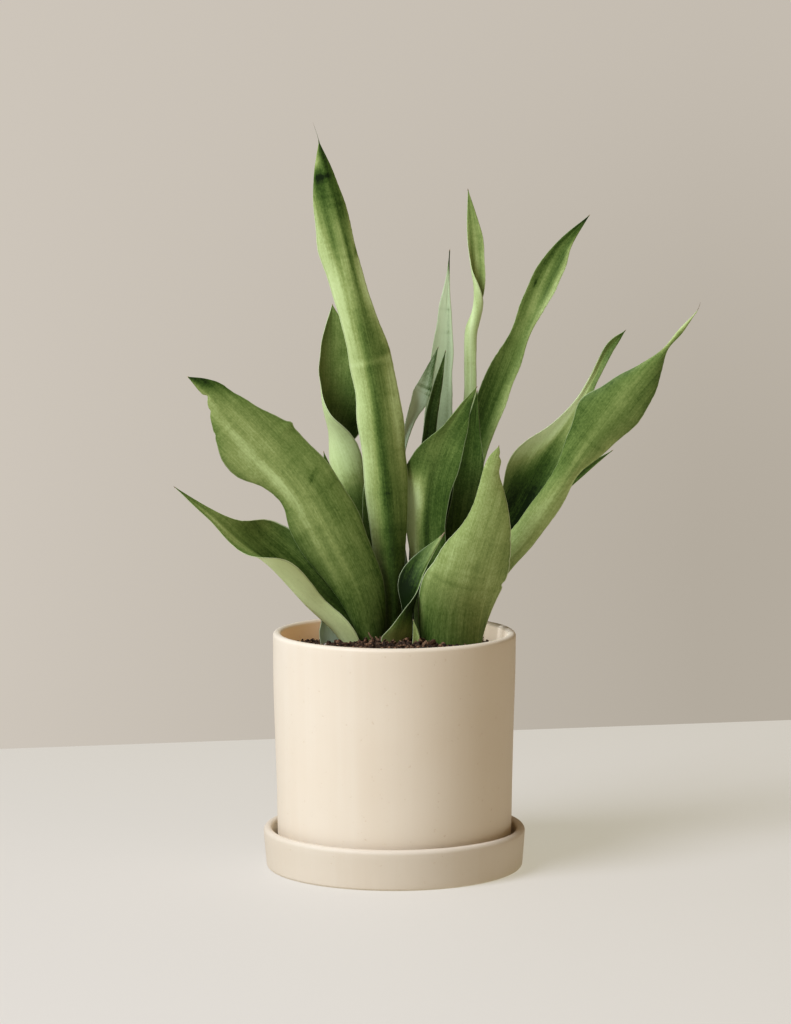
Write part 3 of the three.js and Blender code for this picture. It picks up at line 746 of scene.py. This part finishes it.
# A blade with its dry point, which carries the last ring on along the tip's direction, and
# the numbers that its skin reads.
def addLeaf(name, leaf):
    look, extra = leafLooks[name], leafSet["needleRows"]
    points, t, run, across, skin, width, tangent = leafPoints(name, leaf)
    needle = leaf.get("needle", leafSet["needle"])
    f = (np.arange(1, extra + 1) / extra)[:, None, None]
    core = points[-1].mean(axis=0)
    ring = ((points[-1] - core)[None] * leaf.get("hair", leafSet["hair"])
            * (1 - leafSet["needleTaper"] * f))
    curve = np.array(leaf.get("bend", (0, 0, 0)), float)
    points = np.concatenate([points, core + tangent[-1] * needle * f + curve * f ** 2 + ring])
    t = np.append(t, np.ones(extra))
    run = np.append(run, run[-1] + f[:, 0, 0] * needle)
    across, skin, width = (np.concatenate([v, np.repeat(v[-1:], extra, 0)])
                           for v in (across, skin, width))
    ends = np.stack([points[0].mean(axis=0), points[-1].mean(axis=0)])
    verts = np.concatenate([points.reshape(-1, 3), ends]) * mm
    piece = addPiece(name + "Blade", verts, tubeFaces(*points.shape[:2]),
                     leaf.get("slot", "leaf_green"), [leafNode(name)])

    def spread(values):
        return np.append(values.reshape(-1), [values[0].mean(), values[-1].mean()])

    seed = sum(ord(c) for c in name)
    # the painted tone of face and back: painted light and shade as well as the blade's own
    # colour
    front = paintedTone(look["tone"], t, across)
    for at, beside, reachT, reachS, amount in look.get("patches", ()):
        front = front + amount * bell(t[:, None], at, reachT) * bell(across, beside, reachS)
    behind = paintedTone(look.get("backToneAndShade", [0.5]), t, across)
    fromTip = (run[-1] - run)[:, None] + 0 * across
    addNumbers(piece, "tone", spread(np.where(skin < 0, behind, front)))
    addNumbers(piece, "edge", spread(np.abs(across)))
    addNumbers(piece, "dry", spread(bell(fromTip, 0, look.get("dry", 2.0))))
    for key, usual in (("pale", 0), ("bands", 0.5), ("rim", 0.5)):
        addNumbers(piece, key, spread(0 * across + look.get(key, usual)))
    # 1 unit of the map is 100 mm, moved apart leaf by leaf so that no two marks are alike
    addMap(piece, "leafMap", spread(across * width / 100 + seed * 0.37),
           spread(run[:, None] / 100 + 0 * across + seed * 0.73))
    return piece


leafSkinSet = {
    # lightness to green; the near-black end is for painted shade
    "tones": ((0.0, (0.008, 0.020, 0.002)), (0.167, (0.058, 0.108, 0.016)),
              (0.333, (0.165, 0.235, 0.058)), (0.5, (0.315, 0.385, 0.128)),
              (0.667, (0.510, 0.610, 0.265)), (1.0, (0.700, 0.810, 0.430))),
    "toneSpan": 1.5, "silver": (0.56, 0.66, 0.47), "dry": (0.16, 0.10, 0.05),
    "straw": (0.55, 0.47, 0.30), "margin": (0.66, 0.72, 0.45), "rough": 0.5,
    # stretch across and along the blade, detail, roughness, how much lightness it shifts
    "stripes": (22, 0.8, 3, 0.55, 0.42), "veins": (170, 2.6, 3, 0.6, 0.34),
    "blotch": (10, 6, 4, 0.6, 0.30), "mottle": (80, 45, 4, 0.75, 0.55),
    "bandShade": 0.13, "dashShade": 0.06, "marginFrom": 0.965, "bumpMetres": 0.0002,
}


# Leaf skin: the painted tone, which holds painted light and shade besides the blade's own
# light and dark, shifted by fine veins and soft stripes that run along the blade, by faint
# wavering marks across it and by a fine mottle, picks a green, down to near black where
# shade is painted. A thin pale line follows the margin. Tips dry to straw and brown.
def leafMaterial(name):
    p, k = Paint(name), leafSkinSet
    uv = p.map("leafMap")
    tone, edge = p.number("tone"), p.number("edge")
    dry, pale = p.number("dry"), p.number("pale")
    bandPower, rimPower = p.number("bands"), p.number("rim")
    shifts = {}
    for key in ("stripes", "veins", "blotch", "mottle"):
        across, along, detail, rough, weight = k[key]
        shifts[key] = (p.noise(p.stretch(uv, across, along), 1.0, detail, rough), weight)
    warp = p.node("ShaderNodeTexNoise", {}, {"Vector": uv, "Scale": 7.0, "Detail": 2.0},
                  "Color")
    wander = p.node("ShaderNodeVectorMath", {"operation": "MULTIPLY_ADD"},
                    {0: warp, 1: (0.10, 0.09, 0.0), 2: uv})
    bands = p.noise(p.stretch(wander, 1.6, 11), 1.0, 3, 0.55)
    dashes = p.noise(p.stretch(wander, 9, 46), 1.0, 2, 0.55)
    specks = p.step(p.noise(p.stretch(uv, 120, 70), 1.0, 1, 0.5), 0.75, 0.80)
    dark = (p.step(bands, 0.52, 0.72) * k["bandShade"]
            + p.step(dashes, 0.54, 0.78) * k["dashShade"]) * bandPower
    lightness = tone
    for shift, weight in shifts.values():
        lightness = lightness + (shift - 0.5) * weight
    lightness = lightness - dark
    stripes, veins, blotch, mottle = (shift for shift, _ in shifts.values())
    green = p.node("ShaderNodeValToRGB", {"stops": k["tones"]}, {0: lightness / k["toneSpan"]})
    green = p.mix(pale * p.step(lightness, 0.15, 0.9), green, k["silver"])
    green = p.mix(specks * 0.4, green, k["tones"][0][1])
    rim = p.step(edge, k["marginFrom"], 0.99)
    inside = p.step(edge, 0.90, 0.955) * (1 - rim)
    green = p.mix(inside * 0.22, green, k["tones"][1][1])
    green = p.mix(rim * rimPower, green, k["margin"])
    frayed = p.step(dry + (blotch - 0.5) * 0.5, 0.3, 0.8)
    colour = p.mix(frayed, green, p.mix(p.step(veins, 0.4, 0.6), k["dry"], k["straw"]))
    height = veins * 0.6 + stripes * 0.6 + mottle * 0.35
    rough = k["rough"] + (stripes - 0.5) * 0.16 + frayed * 0.3
    return p.finish({"Base Color": colour, "Roughness": rough,
                     "Normal": p.bump(height, k["bumpMetres"], 0.5)},
                    {"Specular IOR Level": 0.15})


leafSkin = leafMaterial("leafSkin")
for name, leaf in leaves.items():
    addLeaf(name, leaf).data.materials.append(leafSkin)
print("leaves made:", len(leaves))


soilSet = {
    "rings": 120, "turns": 420, "edgeZ": 137.0, "centreZ": 145.0, "bottomZ": 19.0,
    "wallR": 71.0, "baseR": 68.5, "lumpMm": 1.5, "lumpSize": 11, "swellSize": 26,
    "grainMm": 0.7, "grainSize": 3.2, "settle": 0.8, "scatterR": 70,
    "peat": ((0.030, 0.018, 0.012), (0.150, 0.088, 0.054), (0.30, 0.21, 0.14)),
}
# Loose bits on the mound: how many, sizes in millimetres, how far each of the three sides is
# stretched, seed, how far one stands out of the soil, and its two end colours.
looseBits = {
    "soilCrumbs": (4200, (0.5, 1.5), ((0.6, 1.2),) * 3, 31, 0.3,
                   (0.040, 0.022, 0.012), (0.26, 0.150, 0.085)),
    "barkChips": (300, (1.4, 3.2), ((0.8, 1.5), (0.3, 0.6), (0.2, 0.45)), 32, 0.25,
                  (0.09, 0.05, 0.028), (0.32, 0.20, 0.115)),
    "perliteBits": (60, (0.6, 1.5), ((0.7, 1.1),) * 3, 33, 0.3,
                    (0.50, 0.46, 0.40), (0.72, 0.69, 0.63)),
}


# The mound's height for a point (x, y): a shallow dome, plus rounded lumps where two noise
# fields are far from 0, plus fine grain.
def soilHeight(x, y):
    s = soilSet
    r = np.hypot(x, y)
    dome = s["edgeZ"] + (s["centreZ"] - s["edgeZ"]) * (1 - (r / s["wallR"]) ** 2)
    lumps = (np.abs(waveNoise(21, s["lumpSize"], x, y)) * 0.8 - 0.6
             + 0.5 * waveNoise(22, s["swellSize"], x, y))
    grain = waveNoise(23, s["grainSize"], x, y, waves=20)
    return dome + s["lumpMm"] * lumps + s["grainMm"] * grain - s["settle"]


# The soil as one closed piece: rings of equal area over the mound, then straight down the
# pot's wall to a flat bottom.
def addSoil():
    s = soilSet
    radius = s["wallR"] * np.sqrt(np.linspace(0, 1, s["rings"] + 1)[1:])[::-1][:, None]
    angle = np.linspace(0, 2 * np.pi, s["turns"], endpoint=False)[None, :]
    x, y = radius * np.cos(angle), radius * np.sin(angle)
    top = np.stack([x, y, soilHeight(x, y)], -1)
    foot = np.stack([s["baseR"] * np.cos(angle), s["baseR"] * np.sin(angle),
                     s["bottomZ"] + 0 * angle], -1)
    points = np.concatenate([foot, top])
    ends = [[0, 0, s["bottomZ"]], [0, 0, float(soilHeight(np.zeros(1), np.zeros(1))[0])]]
    verts = np.concatenate([points.reshape(-1, 3), ends]) * mm
    return addPiece("soilBed", verts, tubeFaces(*points.shape[:2]), "potting_soil", ["soil"])


# A twenty-sided ball of radius 1, whose corners are those of three golden rectangles.
golden = 1.618
icoVerts = np.array([
    [0, -1, -golden], [0, 1, -golden], [0, -1, golden], [0, 1, golden],
    [-1, -golden, 0], [1, -golden, 0], [-1, golden, 0], [1, golden, 0],
    [-golden, 0, -1], [-golden, 0, 1], [golden, 0, -1], [golden, 0, 1]]) / 1.902
icoFaces = np.array([
    [0, 1, 10], [0, 8, 1], [0, 5, 4], [0, 4, 8], [0, 10, 5], [1, 6, 7], [1, 7, 10], [1, 8, 6],
    [2, 3, 9], [2, 11, 3], [2, 4, 5], [2, 9, 4], [2, 5, 11], [3, 7, 6], [3, 6, 9], [3, 11, 7],
    [4, 9, 8], [5, 10, 11], [6, 8, 9], [7, 11, 10]])


# Scatters small twenty-sided bits on the mound: each has its corners pushed in and out,
# is stretched by its own three sizes, turned by a random rotation (as a unit quaternion)
# and stands out of the soil by a share of its size.
def scatterBits(name, count, sizes, stretch, seed, stand):
    rng = np.random.default_rng(seed)
    r = soilSet["scatterR"] * np.sqrt(rng.uniform(0, 0.98, count))
    a = rng.uniform(0, 2 * np.pi, count)
    x, y = r * np.cos(a), r * np.sin(a)
    size = rng.uniform(*sizes, count) * rng.uniform(0.6, 1, count)
    scale = rng.uniform(*zip(*stretch), (count, 3)) * size[:, None]
    q = rng.normal(size=(count, 4))
    q /= np.linalg.norm(q, axis=1)[:, None]
    w, i, j, k = q.T
    turn = np.stack([
        1 - 2 * (j * j + k * k), 2 * (i * j - k * w), 2 * (i * k + j * w),
        2 * (i * j + k * w), 1 - 2 * (i * i + k * k), 2 * (j * k - i * w),
        2 * (i * k - j * w), 2 * (j * k + i * w), 1 - 2 * (i * i + j * j)], -1)
    turn = turn.reshape(count, 3, 3)
    corners = len(icoVerts)
    shape = icoVerts[None] * rng.uniform(0.7, 1.2, (count, corners, 1)) * scale[:, None]
    shape = np.einsum("nab,nvb->nva", turn, shape)
    place = np.stack([x, y, soilHeight(x, y) + size * stand], -1)
    verts = (shape + place[:, None]).reshape(-1, 3) * mm
    faces = (icoFaces[None] + corners * np.arange(count)[:, None, None]).reshape(-1, 3)
    piece = addPiece(name, verts, faces.tolist(), "potting_soil", smooth=False)
    addNumbers(piece, "bit", np.repeat(rng.uniform(0, 1, count), corners))
    return piece


# Potting soil: near-black peat with brown fibre and pale grit, rough all over.
def soilMaterial(name, dark, brown, grit):
    p = Paint(name)
    where = p.objectPoint()
    coarse = p.noise(where, 240.0, 4, 0.65)
    fine = p.noise(where, 900.0, 3, 0.6)
    fibre = p.noise(p.stretch(where, 900, 260, 500), 1.0, 2, 0.5)
    colour = p.mix(p.step(coarse, 0.36, 0.66), dark, brown)
    colour = p.mix(p.step(fibre, 0.6, 0.75) * 0.6, colour, grit)
    colour = p.mix(p.step(fine, 0.3, 0.5) * 0.5, dark, colour)
    return p.finish({"Base Color": colour, "Normal": p.bump(coarse + fine * 0.6, 0.0009, 0.9)},
                    {"Roughness": 0.92, "Specular IOR Level": 0.25})


# Loose bits: each keeps its own shade between two colours, with a little grain.
def bitMaterial(name, first, second):
    p = Paint(name)
    where = p.objectPoint()
    grain = p.noise(where, 700.0, 3, 0.6)
    colour = p.mix(p.step(p.number("bit") + (grain - 0.5) * 0.6, 0.1, 0.95), first, second)
    return p.finish({"Base Color": colour, "Normal": p.bump(grain, 0.0004, 0.7)},
                    {"Roughness": 0.9, "Specular IOR Level": 0.3})


addSoil().data.materials.append(soilMaterial("peat", *soilSet["peat"]))
for name, (count, sizes, stretch, seed, stand, *colours) in looseBits.items():
    bits = scatterBits(name, count, sizes, stretch, seed, stand)
    bits.data.materials.append(bitMaterial(name + "Skin", *colours))
print("soil made")


rootSet = {"flesh": ((0.34, 0.17, 0.06), (0.62, 0.42, 0.20)), "spot": (0.16, 0.08, 0.03)}


# The rootstock keeps its CAD mesh and gets a fleshy, ringed skin.
def rootMaterial():
    p = Paint("rootSkin")
    where = p.objectPoint()
    rings = p.noise(p.stretch(where, 320, 25, 25), 1.0, 3, 0.6)
    spots = p.noise(where, 180.0, 3, 0.6)
    colour = p.mix(p.step(rings, 0.35, 0.7), *rootSet["flesh"])
    colour = p.mix(p.step(spots, 0.6, 0.8) * 0.5, colour, rootSet["spot"])
    return p.finish({"Base Color": colour, "Normal": p.bump(rings + spots, 0.0006, 0.6)},
                    {"Roughness": 0.7})


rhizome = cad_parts["rhizome"]
rhizome.data.materials.clear()
rhizome.data.materials.append(rootMaterial())
print("rootstock done")


# Metres and degrees. The spans are where each change of the wall and the air starts and
# ends, in the sideways or upward part of the direction looked in.
stageSet = {
    "edgeBack": 0.480, "edgeTurn": 12.0, "reach": 1.7, "slab": 0.03,
    "table": (0.31, 0.29, 0.294), "tableGlow": (0.455, 0.437, 0.362),
    "keyFrom": (-1.65, -1.39, 2.28), "keySize": 1.6, "keyPower": 106.0,
    "keyColour": (0.86, 0.925, 1.08),
    "fillFrom": (1.5, -1.1, 1.1), "fillSize": 1.2, "fillPower": 2.3,
    "fillColour": (1.0, 0.76, 0.50),
    "wallLeft": (0.652, 0.602, 0.538), "wallRight": (0.500, 0.456, 0.392),
    "wallSpan": (-0.11, 0.085), "riseSpan": (-0.13, 0.05), "riseShare": 0.33,
    "airLeft": (0.33, 0.32, 0.31), "airRight": (0.190, 0.128, 0.060),
    "airSpan": (-0.8, 0.8), "contrast": 0.87,
    "cameraAt": (0.00075, -2.257, 0.479), "tilt": 6.37, "lens": 125.86, "sensor": 36,
}


# A flat slab whose far edge lies edgeBack behind the pot and is turned a little.
def addTable():
    s = stageSet
    a = math.radians(s["edgeTurn"])
    along = np.array([math.cos(a), math.sin(a)])
    inward = np.array([math.sin(a), -math.cos(a)])
    middle = np.array([0.0, s["edgeBack"]])
    corners = [middle + along * x + inward * y
               for x, y in ((-s["reach"], 0), (-s["reach"], 2 * s["reach"]),
                            (s["reach"], 2 * s["reach"]), (s["reach"], 0))]
    verts = [[*c, z] for z in (-s["slab"], 0.0) for c in corners]
    faces = [(3, 2, 1, 0), (4, 5, 6, 7), (0, 1, 5, 4), (1, 2, 6, 5), (2, 3, 7, 6), (3, 0, 4, 7)]
    table = addPiece("tableTop", verts, faces, smooth=False)
    p = Paint("tablePaint")
    where = p.objectPoint()
    cloud = p.noise(where, 3.0, 3, 0.5)
    grain = p.noise(where, 400.0, 2, 0.5)
    colour = p.mix(cloud * 0.3, s["table"], tuple(0.93 * c for c in s["table"]))
    # the table glows evenly with tableGlow: painted light, no lamp, that softens the shadows
    # cast on it and lights the plant from below
    table.data.materials.append(p.finish(
        {"Base Color": colour, "Normal": p.bump(grain, 0.0001, 0.3)},
        {"Roughness": 0.7, "Specular IOR Level": 0.2, "Emission Strength": 1.0,
         "Emission Color": (*s["tableGlow"], 1)}))


# The air around is a soft gradient from left to right; what the camera sees of it is the
# wall's colour, darker to the right as painted shade, and what lights the plant is a little
# dimmer and warmer.
def addWorld():
    s = stageSet
    p = Paint("studioAir", bpy.data.worlds)
    bpy.context.scene.world = p.owner
    p.tree.nodes.clear()
    way = p.node("ShaderNodeTexCoord", output="Generated")
    right = p.node("ShaderNodeSeparateXYZ", {}, {0: way}, 0)
    up = p.node("ShaderNodeSeparateXYZ", {}, {0: way}, 2)
    # painted shade: the wall darkens to the right, and less so towards its top
    paintedWallShade = (p.step(right, *s["wallSpan"], kind="LINEAR")
              * p.step(up, *s["riseSpan"], 1.0, s["riseShare"]))
    wall = p.mix(paintedWallShade, s["wallLeft"], s["wallRight"])
    air = p.mix(p.step(right, *s["airSpan"], kind="LINEAR"), s["airLeft"], s["airRight"])
    seen = p.node("ShaderNodeLightPath", output="Is Camera Ray")
    glow = p.node("ShaderNodeBackground", {}, {0: p.mix(seen, air, wall)})
    end = p.tree.nodes.new("ShaderNodeOutputWorld")
    p.tree.links.new(glow.socket, end.inputs[0])


# A round soft light at place that looks at aim, part of the way up the pot and leaves.
def addLight(name, place, size, power, colour, aim=(0, 0, 0.2)):
    data = bpy.data.lights.new(name, "AREA")
    data.shape, data.size, data.energy, data.color = "DISK", size, power, colour
    light = bpy.data.objects.new(name, data)
    bpy.context.scene.collection.objects.link(light)
    light.location = place
    light.rotation_euler = (Vector(aim) - Vector(place)).to_track_quat("-Z", "Y").to_euler()


def addCamera():
    s = stageSet
    data = bpy.data.cameras.new("view")
    data.lens, data.sensor_width = s["lens"], s["sensor"]
    data.clip_start, data.clip_end = 0.05, 20
    camera = bpy.data.objects.new("view", data)
    bpy.context.scene.collection.objects.link(camera)
    camera.location = s["cameraAt"]
    camera.rotation_euler = (math.radians(90 - s["tilt"]), 0, 0)
    bpy.context.scene.camera = camera


addTable()
addWorld()
for light in ("key", "fill"):
    addLight(light + "Light", *(stageSet[light + part]
                                for part in ("From", "Size", "Power", "Colour")))
addCamera()
bpy.context.scene.view_settings.view_transform = "Standard"
bpy.context.scene.view_settings.gamma = stageSet["contrast"]
print("stage set")
